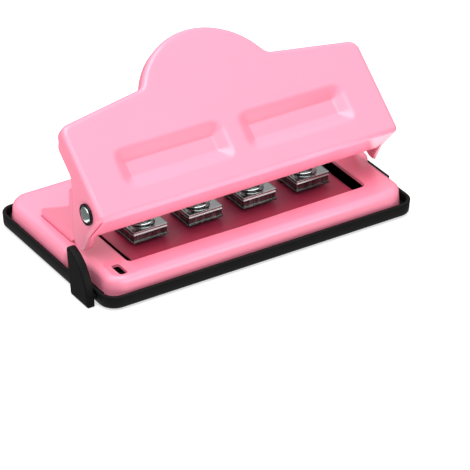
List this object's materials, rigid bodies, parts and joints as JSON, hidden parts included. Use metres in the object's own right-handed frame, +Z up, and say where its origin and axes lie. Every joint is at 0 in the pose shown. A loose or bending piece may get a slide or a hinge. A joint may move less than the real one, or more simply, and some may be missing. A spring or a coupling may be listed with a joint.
{
  "type": "disc binding punch",
  "caption": "Desk punch for disc binding: a painted handle presses mushroom-shaped punches through a paper edge, with a chip tray and a sliding paper guide.",
  "frame": {"origin": "middle of the floor rectangle under the whole punch, its feet at z = 0", "axes": "+X to the right along the row of punches, -Y to the paper side, +Z up"},
  "size_m": [0.1514, 0.084, 0.0767],
  "materials": {
    "paint": "gloss pink paint",
    "bed_paint": "gloss pink paint, in shade",
    "chrome": "bright chrome plate",
    "steel": "ground steel",
    "black_plastic": "fine-grained black",
    "rubber": "matte"
  },
  "bodies": {
    "base": {"base_shell": "paint", "left_ear": "paint", "right_ear": "paint", "left_pivot_rivet": "chrome", "right_pivot_rivet": "chrome", "left_pivot_washer": "steel", "right_pivot_washer": "steel", "punch_bed": "bed_paint", "guide_rivet_1": "steel", "guide_rivet_2": "steel", "guide_rivet_3": "steel", "guide_rivet_4": "steel", "guide_rivet_5": "steel", "guide_rivet_6": "steel", "guide_rivet_7": "steel", "guide_rivet_8": "steel", "punch_guide_1": "chrome", "punch_guide_2": "chrome", "punch_guide_3": "chrome", "punch_guide_4": "chrome", "return_spring_1": "chrome", "return_spring_2": "chrome", "return_spring_3": "chrome", "return_spring_4": "chrome"},
    "handle": {"handle": "paint", "press_bar": "steel"},
    "punch_1": {"punch_1": "steel"},
    "punch_2": {"punch_2": "steel"},
    "punch_3": {"punch_3": "steel"},
    "punch_4": {"punch_4": "steel"},
    "tray": {"chip_tray": "black_plastic", "tray_foot_1": "rubber", "tray_foot_2": "rubber", "tray_foot_3": "rubber", "tray_foot_4": "rubber"},
    "guide": {"paper_guide": "black_plastic"}
  },
  "joints": [
    {"name": "handle_press", "type": "hinge", "parent": "base", "child": "handle", "pos_m": [0, -0.02165, 0.0335], "axis": [-1, 0, 0], "range_deg": [0, 22.3], "stiffness_Nm_per_rad": 0.45, "springref_deg": -14.55},
    {"name": "punch_1_stroke", "type": "slide", "parent": "base", "child": "punch_1", "axis": [0, 0, -1], "range_m": [0, 0.0046], "deforming": ["return_spring_1"]},
    {"name": "punch_2_stroke", "type": "slide", "parent": "base", "child": "punch_2", "axis": [0, 0, -1], "range_m": [0, 0.0046], "deforming": ["return_spring_2"]},
    {"name": "punch_3_stroke", "type": "slide", "parent": "base", "child": "punch_3", "axis": [0, 0, -1], "range_m": [0, 0.0046], "deforming": ["return_spring_3"]},
    {"name": "punch_4_stroke", "type": "slide", "parent": "base", "child": "punch_4", "axis": [0, 0, -1], "range_m": [0, 0.0046], "deforming": ["return_spring_4"]},
    {"name": "tray_release", "type": "slide", "parent": "base", "child": "tray", "axis": [0, 0, -1], "range_m": [0, 0.02]},
    {"name": "guide_slide", "type": "slide", "parent": "tray", "child": "guide", "axis": [-1, 0, 0], "range_m": [0, 0.07]}
  ],
  "couplings": [
    {"joint": "punch_1_stroke", "follows": "handle_press", "m_per_rad": 0.0118},
    {"joint": "punch_2_stroke", "follows": "handle_press", "m_per_rad": 0.0118},
    {"joint": "punch_3_stroke", "follows": "handle_press", "m_per_rad": 0.0118},
    {"joint": "punch_4_stroke", "follows": "handle_press", "m_per_rad": 0.0118}
  ]
}
